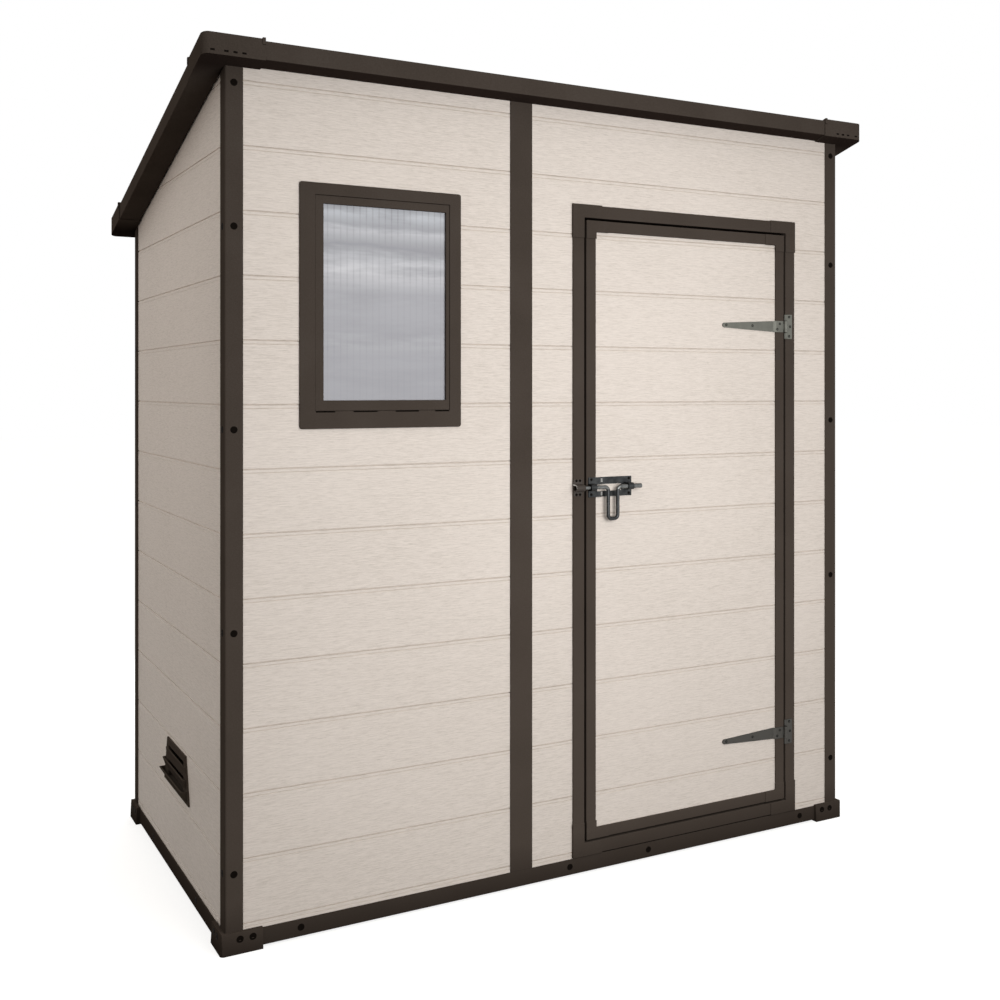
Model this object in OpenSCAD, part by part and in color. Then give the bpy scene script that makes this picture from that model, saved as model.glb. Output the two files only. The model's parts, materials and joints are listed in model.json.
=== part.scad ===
// Pent garden shed in moulded resin panels: slotted wall panels between posts on a base rail,
// a one-way sloping roof with boxed eaves, one hinged door with a sliding bolt, one fixed window.
// X runs along the front, Y from front to back, Z up. The origin is on the ground, under the middle.

/* [Body] */
// Width over the outer faces of the side walls
shed_w = 1720; // [1600:10:2000]
// Depth over the outer faces of the front and rear walls
shed_d = 1040; // [900:10:1400]
// Height of the eaves soffit at the front wall
front_h = 1934; // [1850:2:2200]
// Roof slope in degrees, falling to the back
roof_pitch = 13.5; // [8:0.5:18]
// Thickness of a wall panel
wall_t = 20; // [16:1:30]
// Depth that a panel edge goes into its post or rail
seat = 8; // [5:0.5:10]
// Slack of a panel edge in its slot
slack = 0.5; // [0.2:0.1:1]
// Lip of a post or rail in front of a panel face
lip = 3; // [2:0.5:5]

/* [Boards] */
// Height of one moulded board
board_pitch = 142; // [110:1:180]
// Height of the lowest board line above the ground
board_first = 60; // [55:1:75]
// Height of a board line
groove_h = 3; // [2:0.5:8]
// Depth of a board line
groove_d = 2.5; // [1.5:0.5:5]
// From the top of a board line down to the finer line under it
bead_h = 9.8; // [9:0.1:16]
// Height and depth of the finer line
fine_line = [1.6, 0.8]; // [0.4:0.1:3]

/* [Base] */
// Height of the underside of the base rails
rail_low = 4; // [3:0.5:15]
// Height of the top of the base rails
rail_top = 43; // [38:1:50]
// Thickness of the floor skin
floor_skin = 10; // [6:1:16]
// Width of a floor rib
floor_rib = 8; // [5:1:14]
// Ribs along the floor's length and across it
floor_ribs = [9, 6]; // [2:1:14]
// Reach of a corner foot along each wall, from its outer corner
foot_reach = 92; // [70:1:130]
// Radius of a corner foot in plan
foot_round = 9; // [5:1:14]
// How far a corner foot stands out from the walls
foot_proud = 14; // [10:1:24]
// Height of a corner foot
foot_h = 47; // [45:1:60]

/* [Posts] */
// Width of each face of a corner post
post_w = 40; // [36:1:60]
// Radius of a corner post's outer edge
post_round = 4; // [2:0.5:8]
// Width of a centre post
mid_w = 60; // [45:1:90]
// From the middle of the front centre post to the doorway
post_to_door = 176.5; // [120:0.5:260]

/* [Door] */
// Width of the clear opening in the door surround
door_w = 646; // [560:1:700]
// From the doorway to the outer face of the right wall
door_right = 182.5; // [150:0.5:260]
// Height of wall from the top of the doorway to the soffit
over_door = 270; // [120:1:360]
// Height of the top of the sill
sill_top = 78; // [70:1:110]
// Width of the surround's face
trim_w = 32; // [28:1:50]
// How far the surround stands out from the wall
trim_proud = 5; // [4:1:16]
// Thickness of the surround's lining inside the opening
lining = 12; // [8:1:20]
// Gap round the door leaf
door_gap = 6; // [6:0.5:9]
// Width of the leaf's frame members
stile_w = 28; // [26:1:45]
// Depth of the leaf's frame members
stile_d = 30; // [28:1:40]
// How far the leaf's panel lies behind the face of its frame
panel_recess = 5; // [3:0.5:6]
// Length of each arm of a surround corner piece
corner_arm = 84; // [70:1:110]
// Length of the level arm of a leaf corner piece
leaf_arm = 65; // [50:1:90]
// Thickness of a corner piece
corner_t = 2; // [1.5:0.5:4]
// How far a corner piece laps past its frame
corner_lap = 1.5; // [1:0.5:1.5]

/* [Hinges] */
// From the ends of the leaf to the hinges: the low one, the high one
hinge_in = [186, 255]; // [120:0.5:400]
// Length of a hinge strap from its pin
strap_len = 211; // [160:1:260]
// Height of a strap at the pin
strap_h = 31; // [24:1:40]
// Height of a strap at its tip
strap_tip = 13; // [8:1:20]
// Height and width of a hinge plate
hinge_plate = [68, 18]; // [16:1:90]
// Thickness of the hinge steel
steel = 3; // [2:0.5:4]
// Radius of a hinge knuckle
knuckle_r = 5; // [4.5:0.5:6]
// Radius of the hinge pin
pin_r = 2.4; // [1.8:0.1:2.8]
// Running clearance of the pin
pin_play = 0.1; // [0.05:0.01:0.1]

/* [Bolt] */
// From the top of the doorway down to the bolt
bolt_drop = 685; // [560:1:800]
// Radius of the bolt's rod
bolt_r = 4.8; // [3.6:0.1:5]
// Radius of the sleeve on the rod's tail
sleeve_r = 6; // [5.5:0.1:6.5]
// Clearance of the rod in its guides
bolt_play = 0.4; // [0.3:0.1:0.8]
// Rod past the leaf's edge when drawn back
bolt_past = 10; // [6:0.5:11]
// Length of the rod from tip to tail
bolt_len = 166; // [150:1:200]
// Distance between the legs of the bolt's handle
handle_w = 28; // [22:1:36]
// Drop of the handle below the rod
handle_drop = 86; // [60:1:110]
// Height and length of the bolt's plate
bolt_plate = [50, 130]; // [44:1:140]
// How far the plate reaches past the stile before it steps down to the panel
plate_over = 13; // [6:1:18]

/* [Window] */
// Left and right edges of the window frame, as shares of its panel's width
win_span = [0.1926, 0.7958]; // [0.1:0.0001:0.9]
// Height over the window frame
win_h = 556; // [420:1:640]
// From the soffit down to the window frame
win_drop = 239; // [120:1:320]
// Widths of the frame's face: left, right, top, bottom
frame_w = [35, 29, 27, 40]; // [24:1:50]
// Widths of the sash's face: left, right, top, bottom
sash_w = [20, 9, 19, 24]; // [8:1:30]
// How far the frame stands out from the wall
frame_proud = 5; // [4:1:14]
// Radius of the frame's corners
frame_round = 6; // [3:0.5:12]
// Height and depth of the drain slots under the sash
drain = [3, 7]; // [2:0.5:9]
// Thickness of the fluted glazing sheet
pane_t = 6; // [4:1:10]

/* [Vents] */
// Widths of a vent's flange at its top and its bottom
vent_w = [208, 280]; // [180:2:320]
// Height of a vent's flange
vent_h = 113; // [90:1:160]
// Height of a vent's middle
vent_z = 279; // [200:0.5:400]
// Middle of a vent, from the middle of the wall
vent_y = -34; // [-80:1:80]
// Width of the flange round its hole
vent_rim = 14; // [12:1:20]
// How far the lowest scoop stands out
vent_reach = 18.6; // [12:0.2:30]
// Scoops in a vent
scoops = 3; // [2:1:4]
// Thickness of a scoop
scoop_t = 2.5; // [2:0.5:4]

/* [Roof] */
// Overhang at the sides
eave_side = 58; // [40:1:100]
// Overhang at the front and back
eave_end = 45; // [30:1:100]
// Height of the eaves
eave_h = 41; // [36:1:60]
// Thickness of the eaves mouldings
eave_t = 4; // [3:0.5:6]
// Thickness of the roof deck
deck_t = 12; // [8:1:16]
// Width of the moulding's lip on the deck
eave_lip = 30; // [20:1:40]
// Width and height of the joint strip between the deck panels
joint_strip = [50, 6]; // [4:1:80]
// Length of a corner cap along each edge
cap_len = 135; // [100:1:180]
// Thickness of a corner cap
cap_t = 3; // [2.5:0.5:5]
// Radius of a corner cap in plan
cap_round = 16; // [10:1:24]
// Width, height and drop of the ridge over the top edge of a cap's ends
cap_ridge = [7, 2, 13]; // [1:0.5:20]
// Slots low in a cap, from its outer corner
cap_slots = [22, 51, 70, 89]; // [20:1:100]
// Length and height of a slot
cap_slot = [9, 4]; // [3:0.5:12]
// Clearance between the roof mouldings
seam = 0.3; // [0.2:0.1:0.6]

/* [Hidden] */
$fn = 48;
BEIGE = "#e3d9cd";
BROWN = "#463d37";
STEEL = "#6f7370";
SMOKE = "#b4b6ba";

// Faces of the walls, and of the posts and rails that stand a lip outside them.
hw = shed_w / 2;
hd = shed_d / 2;
post_x = hw + lip;
post_y = hd + lip;
rail_t = wall_t + 2 * lip;
slot_w = wall_t + 2 * slack;
past = 1;

// Roof planes: heights are measured upright from the soffit.
slope = tan(roof_pitch);
deck_low = eave_h - eave_lip_t() - deck_t - seam;
eave_x = hw + eave_side;
eave_y = hd + eave_end;
soffit_x = post_x + slack;
soffit_y = post_y + slack;
function eave_lip_t() = 3;
function soffit(y) = front_h - slope * (y + hd);

// Door leaf and hinge line.
open_r = hw - door_right;
open_l = open_r - door_w;
open_top = front_h - over_door;
mid_x = open_l - post_to_door;
trim_face = -hd - trim_proud;
leaf_l = open_l + door_gap;
leaf_r = open_r - door_gap;
leaf_low = sill_top + door_gap;
leaf_top = open_top - door_gap;
panel_face = trim_face + panel_recess;
leaf_back = trim_face + stile_d;
pin_x = open_r - door_gap / 2;
pin_y = trim_face - knuckle_r;
hinge_z = [leaf_low + hinge_in[0], leaf_top - hinge_in[1]];
knuckle_gap = 0.3;

// Bolt line, in front of the leaf's frame.
bolt_z = open_top - bolt_drop;
rod_y = trim_face - steel - sleeve_r - 3;
rod_tip = leaf_l - bolt_past;
leg_x = leaf_l + stile_w + 29.5;
guide_w = 16;
guide_r = sleeve_r + 3;
keeper_w = 25;
keeper_t = 2.5;
keeper_in = bolt_r + 1.6;
bend_r = 10;

// Window frame and sash edges: left, right, low and high.
win_panel = [-post_x + post_w, mid_x - mid_w / 2];
frame_l = win_panel[0] + win_span[0] * (win_panel[1] - win_panel[0]);
frame_r = win_panel[0] + win_span[1] * (win_panel[1] - win_panel[0]);
frame_top = front_h - win_drop;
frame_low = frame_top - win_h;
light_l = frame_l + frame_w[0];
light_r = frame_r - frame_w[1];
light_top = frame_top - frame_w[2];
light_low = frame_low + frame_w[3];
pane_l = light_l + sash_w[0];
pane_r = light_r - sash_w[1];
pane_top = light_top - sash_w[2];
pane_low = light_low + sash_w[3];
frame_lining = 8;
pane_seat = 5;
drains = [[0.006, 0.141], [0.274, 0.449], [0.585, 0.76], [0.886, 0.994]];

module block(x, y, z) {
    translate([x[0], y[0], z[0]]) cube([x[1] - x[0], y[1] - y[0], z[1] - z[0]]);
}

// A flat rectangle with round corners.
module rounded(x, y, r) {
    translate([x[0] + r, y[0]]) square([x[1] - x[0] - 2 * r, y[1] - y[0]]);
    translate([x[0], y[0] + r]) square([x[1] - x[0], y[1] - y[0] - 2 * r]);
    for (u = [x[0] + r, x[1] - r], v = [y[0] + r, y[1] - r]) translate([u, v]) circle(r);
}

// A range on one side of the middle.
function span(s, a, b) = s > 0 ? [a, b] : [-b, -a];

// An outline in Y and Z, drawn out along X.
module along_x(x, points) {
    translate([x[0], 0, 0]) rotate([90, 0, 90]) linear_extrude(x[1] - x[0]) polygon(points);
}

// An outline in X and Z, drawn out along Y.
module along_y(y, points) {
    translate([0, y[1], 0]) rotate([90, 0, 0]) linear_extrude(y[1] - y[0]) polygon(points);
}

// A band of the roof's slope between two heights above the soffit.
module sloped(x, y, rise) {
    along_x(x, [[y[0], soffit(y[0]) + rise[0]], [y[1], soffit(y[1]) + rise[0]],
        [y[1], soffit(y[1]) + rise[1]], [y[0], soffit(y[0]) + rise[1]]]);
}

// Everything below the deck, over the whole plan.
module below_deck() {
    along_x([-eave_x, eave_x], [[-eave_y, 0], [eave_y, 0],
        [eave_y, soffit(eave_y) + deck_low - slack], [-eave_y, soffit(-eave_y) + deck_low - slack]]);
}

// Board lines on a face: the face lies at 0 and the wall behind it, from z_low to z_top.
// Each is a deep line with a bead under it, and a finer line under the bead.
function board_lines(z_low, z_top) = [for (k = [0:40]) let (z = board_first + k * board_pitch)
    if (z - bead_h - fine_line[0] > z_low && z < z_top) z];
function boarded(z_low, z_top, t) = concat([[0, z_low]],
    [for (z = board_lines(z_low, z_top)) each [[0, z - bead_h - fine_line[0] / 2],
        [fine_line[1], z - bead_h], [0, z - bead_h + fine_line[0] / 2], [0, z - groove_h],
        [groove_d, z - groove_h * 0.8], [groove_d, z - groove_h * 0.2], [0, z]]],
    [[0, z_top], [t, z_top], [t, z_low]]);

// A wall panel along X with its boards to the front, then cut under the deck.
panel_low = rail_top - seat + slack;
module panel_x(x, z_low = panel_low, back = false) {
    outline = boarded(z_low, front_h + eave_h, wall_t);
    turn = back ? -1 : 1;
    color(BEIGE) intersection() {
        along_x(x, [for (p = outline) [turn * (p[0] - hd), p[1]]]);
        below_deck();
    }
}

// A side wall panel with its boards outwards and a hole for its vent.
module panel_y(side) {
    outline = boarded(panel_low, front_h + eave_h, wall_t);
    y_end = post_y - post_w + seat - slack;
    color(BEIGE) difference() {
        intersection() {
            along_y([-y_end, y_end], [for (p = outline) [side * (hw - p[0]), p[1]]]);
            below_deck();
        }
        translate([side * hw, vent_y, vent_z])
            cube([3 * wall_t, vent_w[0] - 2 * vent_rim, vent_h - 2 * vent_rim], center = true);
    }
}

// The floor: a skin on a grid of ribs that stands on the ground inside the rails.
floor_x = post_x - rail_t - slack;
floor_y = post_y - rail_t - slack;
module floor() {
    step_x = (2 * floor_x - floor_rib) / (floor_ribs[0] - 1);
    step_y = (2 * floor_y - floor_rib) / (floor_ribs[1] - 1);
    color(BROWN) union() {
        block([-floor_x, floor_x], [-floor_y, floor_y], [rail_top - floor_skin, rail_top]);
        for (i = [0:floor_ribs[0] - 1]) translate([-floor_x + i * step_x, -floor_y, 0])
            cube([floor_rib, 2 * floor_y, rail_top - floor_skin / 2]);
        for (i = [0:floor_ribs[1] - 1]) translate([-floor_x, -floor_y + i * step_y, 0])
            cube([2 * floor_x, floor_rib, rail_top - floor_skin / 2]);
    }
}

// A rail's section: a box with a slot along its top for the panel edge.
function rail_section() = [[0, rail_low], [rail_t, rail_low], [rail_t, rail_top],
    [lip + wall_t + slack, rail_top], [lip + wall_t + slack, rail_top - seat],
    [lip - slack, rail_top - seat], [lip - slack, rail_top], [0, rail_top]];

module base_rails() {
    side_y = post_y - rail_t - slack;
    color(BROWN) for (s = [-1, 1]) {
        along_x([-post_x, post_x], [for (p = rail_section()) [s * (post_y - p[0]), p[1]]]);
        along_y([-side_y, side_y], [for (p = rail_section()) [s * (post_x - p[0]), p[1]]]);
    }
}

// A corner foot: a bracket that laps both rails and carries them on its bottom plate.
module foot(sx, sy) {
    draft = 3;
    reach_x = hw + foot_proud - foot_reach;
    reach_y = hd + foot_proud - foot_reach;
    out_x = hw + foot_proud;
    out_y = hd + foot_proud;
    difference() {
        intersection() {
            along_y([-out_y, out_y], [[sx * reach_x, 0], [sx * out_x, 0],
                [sx * (out_x - draft), foot_h], [sx * reach_x, foot_h]]);
            along_x([-out_x, out_x], [[sy * reach_y, 0], [sy * out_y, 0],
                [sy * (out_y - draft), foot_h], [sy * reach_y, foot_h]]);
            linear_extrude(foot_h) rounded([-out_x, out_x], [-out_y, out_y], foot_round);
        }
        block([-post_x, post_x], [-post_y, post_y], [rail_low, foot_h + past]);
        block([-floor_x - slack, floor_x + slack], [-floor_y - slack, floor_y + slack], [-past, foot_h + past]);
    }
}

module corner_feet() {
    color(BROWN) for (sx = [-1, 1], sy = [-1, 1]) foot(sx, sy);
}

// A corner post: a square section with a rounded outer edge and a slot in each inner side.
module corner_post(sx, sy) {
    slot_far = lip + wall_t + slack;
    color(BROWN) intersection() {
        translate([sx * post_x, sy * post_y, rail_top]) linear_extrude(front_h + eave_h)
            mirror([sx > 0 ? 1 : 0, 0]) mirror([0, sy > 0 ? 1 : 0]) difference() {
                union() {
                    translate([post_round, 0]) square([post_w - post_round, post_w]);
                    translate([0, post_round]) square([post_w, post_w - post_round]);
                    translate([post_round, post_round]) circle(post_round);
                }
                translate([post_w - seat, lip - slack]) square([seat + past, slot_w]);
                translate([lip - slack, post_w - seat]) square([slot_w, seat + past]);
            }
        below_deck();
    }
}

// A centre post: an H section that joins two panels in one wall.
module centre_post(x, sy) {
    color(BROWN) intersection() {
        translate([x, sy * (post_y - rail_t / 2), rail_top]) linear_extrude(front_h + eave_h)
            difference() {
                square([mid_w, rail_t], center = true);
                for (s = [-1, 1]) translate([s * (mid_w / 2 - seat / 2 + past / 2), 0])
                    square([seat + past, slot_w], center = true);
            }
        below_deck();
    }
}

wall_l = -post_x + post_w - seat + slack;
mid_l = mid_x - mid_w / 2 + seat - slack;
mid_r = mid_x + mid_w / 2 - seat + slack;
cut_l = open_l - lining;
cut_r = open_r + lining;

module front_wall_left() {
    color(BEIGE) difference() {
        panel_x([wall_l, mid_l]);
        block([light_l - frame_lining - slack, light_r + frame_lining + slack],
            [-hd - past, -hd + wall_t + past],
            [light_low - frame_lining - slack, light_top + frame_lining + slack]);
    }
}
module front_wall_latch_side() { panel_x([mid_r, cut_l]); }
module front_wall_hinge_side() { panel_x([cut_r, -wall_l]); }
module front_wall_over_door() { panel_x([cut_l, cut_r], open_top + lining); }
module left_wall() { panel_y(-1); }
module right_wall() { panel_y(1); }
rear_mid = mid_w / 2 - seat + slack;
module rear_wall_left() { panel_x([wall_l, -rear_mid], back = true); }
module rear_wall_right() { panel_x([rear_mid, -wall_l], back = true); }

// A jamb: the face that laps the wall, and the lining that turns into the opening.
module jamb(x, side) {
    lined = side > 0 ? [x, x + lining] : [x - lining, x];
    faced = side > 0 ? [x, x + trim_w] : [x - trim_w, x];
    color(BROWN) union() {
        block(faced, [trim_face, -hd], [sill_top, open_top]);
        block(lined, [trim_face, -hd + wall_t + lip], [sill_top, open_top]);
    }
}
module door_jamb_latch_side() { jamb(open_l, -1); }
module door_jamb_hinge_side() { jamb(open_r, 1); }
module door_head() {
    color(BROWN) union() {
        block([open_l - trim_w, open_r + trim_w], [trim_face, -hd], [open_top, open_top + trim_w]);
        block([cut_l, cut_r], [trim_face, -hd + wall_t + lip], [open_top, open_top + lining]);
    }
}
module door_sill() {
    low = max(sill_top - trim_w, rail_top);
    color(BROWN) union() {
        block([open_l - trim_w, open_r + trim_w], [trim_face, -hd], [low, sill_top]);
        block([cut_l, cut_r], [trim_face, -hd + wall_t + lip], [low, sill_top]);
    }
}

// A corner piece of a frame: an L of two arms round the corner at x, z.
module corner_piece(x, z, sx, sz, width, arms, y) {
    along_y(y, [[x, z], [x + sx * arms[0], z], [x + sx * arms[0], z + sz * width],
        [x + sx * width, z + sz * width], [x + sx * width, z + sz * arms[1]], [x, z + sz * arms[1]]]);
}

// Corner pieces of the surround: a face on the members and a rim that turns back to the wall.
module door_surround_corners() {
    arms = [corner_arm + corner_lap, corner_arm + corner_lap];
    color(BROWN) for (sx = [-1, 1], sz = [-1, 1]) {
        x = sx < 0 ? open_l - trim_w - corner_lap : open_r + trim_w + corner_lap;
        z = sz < 0 ? sill_top - trim_w - corner_lap : open_top + trim_w + corner_lap;
        union() {
            corner_piece(x, z, -sx, -sz, trim_w + corner_lap, arms, [trim_face - corner_t, trim_face]);
            corner_piece(x, z, -sx, -sz, corner_lap, arms, [trim_face - corner_t, -hd - slack]);
        }
    }
}

module window_frame() {
    color(BROWN) difference() {
        union() {
            translate([0, -hd, 0]) rotate([90, 0, 0]) linear_extrude(frame_proud)
                rounded([frame_l, frame_r], [frame_low, frame_top], frame_round);
            block([light_l - frame_lining, light_r + frame_lining], [-hd - frame_proud, -hd + wall_t + lip],
                [light_low - frame_lining, light_top + frame_lining]);
        }
        block([light_l, light_r], [-hd - frame_proud - past, -hd + wall_t + lip + past],
            [light_low, light_top]);
        for (d = drains) block([light_l + d[0] * (light_r - light_l), light_l + d[1] * (light_r - light_l)],
            [-hd - frame_proud - past, -hd - frame_proud + drain[1]], [light_low - drain[0], light_low + past]);
    }
}

sash_face = -hd - frame_proud + 2;
pane_y = -hd + 4;
module window_sash() {
    color(BROWN) difference() {
        block([light_l + slack, light_r - slack], [sash_face, -hd + wall_t],
            [light_low + slack, light_top - slack]);
        block([pane_l, pane_r], [sash_face - past, -hd + wall_t + past], [pane_low, pane_top]);
        block([pane_l - pane_seat, pane_r + pane_seat], [pane_y, -hd + wall_t + past],
            [pane_low - pane_seat, pane_top + pane_seat]);
    }
}
module window_pane() {
    rim = pane_seat - slack;
    color(SMOKE) block([pane_l - rim, pane_r + rim], [pane_y, pane_y + pane_t],
        [pane_low - rim, pane_top + rim]);
}

// A vent: a flange on the wall, a spigot that lines the hole, and scoops that open upwards, grow wider
// and stand out further towards the bottom.
module vent(side) {
    flange_t = scoop_t * 1.6;
    top = vent_z + vent_h / 2;
    low = vent_z - vent_h / 2;
    half = function(z) (vent_w[0] + (vent_w[1] - vent_w[0]) * (top - z) / vent_h) / 2;
    pitch = (vent_h - 2.4 * vent_rim) / scoops;
    at = side * hw;
    spigot = [wall_t + flange_t, vent_w[0] - 2 * vent_rim - 2 * slack, vent_h - 2 * vent_rim - 2 * slack];
    color(BROWN) union() {
        difference() {
            union() {
                along_x(span(side, hw, hw + flange_t), [[vent_y - half(low), low], [vent_y + half(low), low],
                    [vent_y + half(top), top], [vent_y - half(top), top]]);
                translate([side * (hw + flange_t - spigot[0] / 2), vent_y, vent_z]) cube(spigot, center = true);
            }
            translate([at, vent_y, vent_z])
                cube([4 * wall_t, spigot[1] - 2 * scoop_t, spigot[2] - 2 * scoop_t], center = true);
        }
        for (i = [1:scoops]) {
            tip = top - i * pitch;
            foot = tip - 1.1 * pitch;
            out = vent_reach * i / scoops;
            wide = half(tip) - scoop_t;
            blade = [[0, foot], [scoop_t, foot], [out, tip - scoop_t], [out, tip],
                [out - scoop_t, tip], [0, foot + 2 * scoop_t]];
            cheek = [[0, foot], [scoop_t, foot], [out, tip - scoop_t], [out, tip], [0, tip]];
            along_y([vent_y - wide, vent_y + wide], [for (p = blade) [at + side * p[0], p[1]]]);
            for (y = [-wide, wide - scoop_t]) along_y([vent_y + y, vent_y + y + scoop_t],
                [for (p = cheek) [at + side * p[0], p[1]]]);
        }
    }
}
module left_vent() { vent(-1); }
module right_vent() { vent(1); }

// One half of the deck, laid on the slope, with lines that run down it.
module deck(side) {
    run = 2 * (eave_y - eave_t - slack) / cos(roof_pitch) - 2 * eave_h * sin(roof_pitch);
    from = side < 0 ? -eave_x + eave_t + slack : slack / 2;
    wide = eave_x - eave_t - 1.5 * slack;
    thick = deck_t * cos(roof_pitch);
    lines = round(wide / board_pitch);
    color(BROWN) translate([0, 0, soffit(0) + deck_low]) rotate([-roof_pitch, 0, 0])
        translate([from, -run / 2, 0]) difference() {
            cube([wide, run, thick]);
            for (i = [1:lines - 1]) translate([i * wide / lines - groove_h / 2, -past, thick - groove_d])
                cube([groove_h, run + 2 * past, groove_d + past]);
        }
}
module roof_panel_left() { deck(-1); }
module roof_panel_right() { deck(1); }
module roof_joint_strip() {
    color(BROWN) sloped([-joint_strip[0] / 2, joint_strip[0] / 2],
        [-eave_y + eave_lip + slack, eave_y - eave_lip - slack],
        [eave_h - eave_lip_t(), eave_h - eave_lip_t() + joint_strip[1]]);
}

// An end fascia: face, soffit back to the wall, and a lip over the deck.
module fascia_x(s) {
    rise = [[eave_y, 0], [soffit_y, 0], [soffit_y, eave_t], [eave_y - eave_t, eave_t],
        [eave_y - eave_t, eave_h - eave_lip_t()], [eave_y - eave_lip, eave_h - eave_lip_t()],
        [eave_y - eave_lip, eave_h], [eave_y, eave_h]];
    color(BROWN) along_x([-eave_x + cap_round, eave_x - cap_round],
        [for (p = rise) [s * p[0], soffit(s * p[0]) + p[1]]]);
}
module roof_fascia_front() { fascia_x(-1); }
module roof_fascia_rear() { fascia_x(1); }

// A side fascia of the same section, running up the slope between the end fascias.
module fascia_y(s) {
    ends = [-soffit_y + slack, soffit_y - slack];
    color(BROWN) union() {
        sloped(span(s, eave_x - eave_t, eave_x), ends, [0, eave_h]);
        sloped(span(s, soffit_x, eave_x), ends, [0, eave_t]);
        sloped(span(s, eave_x - eave_lip, eave_x), ends, [eave_h - eave_lip_t(), eave_h]);
    }
}
module roof_fascia_left() { fascia_y(-1); }
module roof_fascia_right() { fascia_y(1); }

// A corner cap: a sleeve over the meeting fascias, open to the walls, with a ridge over each end's top edge.
module corner_cap(sx, sy) {
    out_x = eave_x + cap_t;
    out_y = eave_y + cap_t;
    end_x = out_x - cap_len;
    end_y = out_y - cap_len;
    arms = [[out_x, out_y], [end_x, out_y], [end_x, soffit_y], [soffit_x, soffit_y],
        [soffit_x, end_y], [out_x, end_y]];
    skin = [-cap_t, eave_h + cap_t];
    raised = [skin[1] - cap_ridge[2], skin[1] + cap_ridge[1]];
    slot_z = soffit(sy * out_y) + cap_slot[1];
    inner = [eave_x + seam, eave_y + seam];
    tall = front_h + 10 * eave_h;
    difference() {
        union() {
            intersection() {
                linear_extrude(tall) intersection() {
                    polygon([for (p = arms) [sx * p[0], sy * p[1]]]);
                    rounded([-out_x, out_x], [-out_y, out_y], cap_round);
                }
                sloped([-out_x, out_x], [-out_y, out_y], skin);
            }
            sloped(span(sx, end_x, end_x + cap_ridge[0]),
                span(sy, out_y - cap_ridge[2], out_y + cap_ridge[1]), raised);
            sloped(span(sx, out_x - cap_ridge[2], out_x + cap_ridge[1]),
                span(sy, end_y, end_y + cap_ridge[0]), raised);
        }
        intersection() {
            linear_extrude(tall) rounded([-inner[0], inner[0]], [-inner[1], inner[1]], cap_round - cap_t);
            sloped([-inner[0], inner[0]], [-inner[1], inner[1]], [-seam, eave_h + seam]);
        }
        for (d = cap_slots) block(span(sx, out_x - d - cap_slot[0] / 2, out_x - d + cap_slot[0] / 2),
            span(sy, eave_y, out_y + past), [slot_z, slot_z + cap_slot[1]]);
    }
}
module roof_corner_caps() {
    color(BROWN) for (sx = [-1, 1], sy = [-1, 1]) corner_cap(sx, sy);
}

// Hinge plates on the jamb, with their outer knuckles and the fixed pins.
tab_h = strap_h / 2;
module hinge_plates() {
    color(STEEL) for (z = hinge_z) union() {
        block([pin_x + knuckle_r + 1, pin_x + knuckle_r + 1 + hinge_plate[1]],
            [trim_face - steel, trim_face], [z - hinge_plate[0] / 2, z + hinge_plate[0] / 2]);
        for (low = [z - strap_h / 2, z + tab_h / 2 + knuckle_gap]) {
            high = low + (strap_h - tab_h) / 2 - knuckle_gap;
            block([pin_x, pin_x + knuckle_r + 2], [trim_face - steel, trim_face], [low, high]);
            translate([pin_x, pin_y, low]) cylinder(r = knuckle_r, h = high - low);
        }
        translate([pin_x, pin_y, z - strap_h / 2]) cylinder(r = pin_r, h = strap_h);
    }
}

// Hinge straps on the leaf: flat on the stile, stepped down onto the panel, tapering to a round tip.
module hinge_straps() {
    stile_edge = leaf_r - stile_w;
    tip = pin_x - strap_len;
    step = panel_recess + 2;
    color(STEEL) for (z = hinge_z) union() {
        intersection() {
            translate([0, 0, z - strap_h]) linear_extrude(2 * strap_h) polygon([
                [pin_x - knuckle_r - 1, trim_face], [stile_edge, trim_face],
                [stile_edge - step, panel_face], [tip - past, panel_face],
                [tip - past, panel_face - steel], [stile_edge - step, panel_face - steel],
                [stile_edge, trim_face - steel], [pin_x - knuckle_r - 1, trim_face - steel]]);
            translate([0, panel_face + past, z]) rotate([90, 0, 0]) linear_extrude(4 * stile_d) union() {
                polygon([[pin_x, strap_h / 2], [stile_edge, strap_h / 2],
                    [tip + strap_tip / 2, strap_tip / 2], [tip + strap_tip / 2, -strap_tip / 2],
                    [stile_edge, -strap_h / 2], [pin_x, -strap_h / 2]]);
                translate([tip + strap_tip / 2, 0]) circle(d = strap_tip);
            }
        }
        difference() {
            union() {
                block([pin_x - knuckle_r - 2, pin_x], [trim_face - steel, trim_face],
                    [z - tab_h / 2, z + tab_h / 2]);
                translate([pin_x, pin_y, z - tab_h / 2]) cylinder(r = knuckle_r, h = tab_h);
            }
            translate([pin_x, pin_y, z - strap_h]) cylinder(r = pin_r + pin_play, h = 2 * strap_h);
        }
    }
}

module door_panel() {
    rim = stile_w - seat + slack;
    outline = boarded(leaf_low + rim, leaf_top - rim, wall_t);
    color(BEIGE) along_x([leaf_l + rim, leaf_r - rim], [for (p = outline) [panel_face + p[0], p[1]]]);
}

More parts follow.
